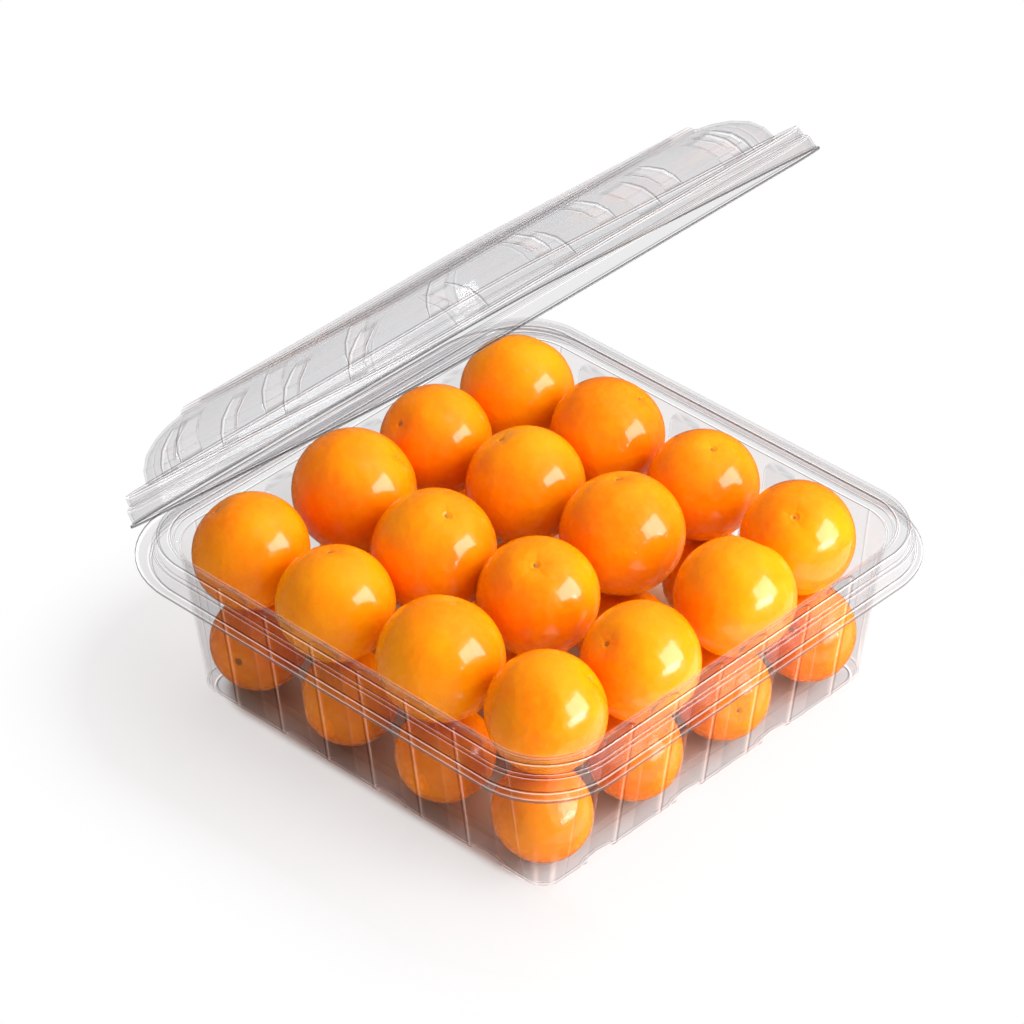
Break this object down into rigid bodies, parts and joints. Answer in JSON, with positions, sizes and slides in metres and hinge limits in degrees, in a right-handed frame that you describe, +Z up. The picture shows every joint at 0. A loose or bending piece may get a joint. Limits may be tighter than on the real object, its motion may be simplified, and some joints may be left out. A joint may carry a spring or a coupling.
{
  "type": "hinged clamshell fruit pack",
  "caption": "Clear moulded square clamshell with a domed hinged lid propped open, holding two layers of glossy round orange fruit.",
  "frame": {"origin": "middle of the tray's base, on the ground", "axes": "+Z up, X along the hinge line, +Y from the free edge towards the hinge"},
  "size_m": [0.1582, 0.1627, 0.1555],
  "materials": {
    "clear_sheet": "clear, glossy, thin moulded sheet",
    "fruit_skin": "smooth waxy skin with a soft gloss"
  },
  "bodies": {
    "tray_body": {"tray": "clear_sheet", "fruit_lower_1": "fruit_skin", "fruit_lower_2": "fruit_skin", "fruit_lower_3": "fruit_skin", "fruit_lower_4": "fruit_skin", "fruit_lower_5": "fruit_skin", "fruit_lower_6": "fruit_skin", "fruit_lower_7": "fruit_skin", "fruit_lower_8": "fruit_skin", "fruit_lower_9": "fruit_skin", "fruit_lower_10": "fruit_skin", "fruit_lower_11": "fruit_skin", "fruit_lower_12": "fruit_skin", "fruit_lower_13": "fruit_skin", "fruit_lower_14": "fruit_skin", "fruit_lower_15": "fruit_skin", "fruit_lower_16": "fruit_skin", "fruit_upper_1": "fruit_skin", "fruit_upper_2": "fruit_skin", "fruit_upper_3": "fruit_skin", "fruit_upper_4": "fruit_skin", "fruit_upper_5": "fruit_skin", "fruit_upper_6": "fruit_skin", "fruit_upper_7": "fruit_skin", "fruit_upper_8": "fruit_skin", "fruit_upper_9": "fruit_skin", "fruit_upper_10": "fruit_skin", "fruit_upper_11": "fruit_skin", "fruit_upper_12": "fruit_skin", "fruit_upper_13": "fruit_skin", "fruit_upper_14": "fruit_skin", "fruit_upper_15": "fruit_skin", "fruit_upper_16": "fruit_skin"},
    "lid_body": {"lid": "clear_sheet"}
  },
  "joints": [
    {"name": "lid_hinge", "type": "hinge", "parent": "tray_body", "child": "lid_body", "pos_m": [0, 0.0831, 0.0429], "axis": [-1, 0, 0], "range_deg": [-42, 138]}
  ]
}
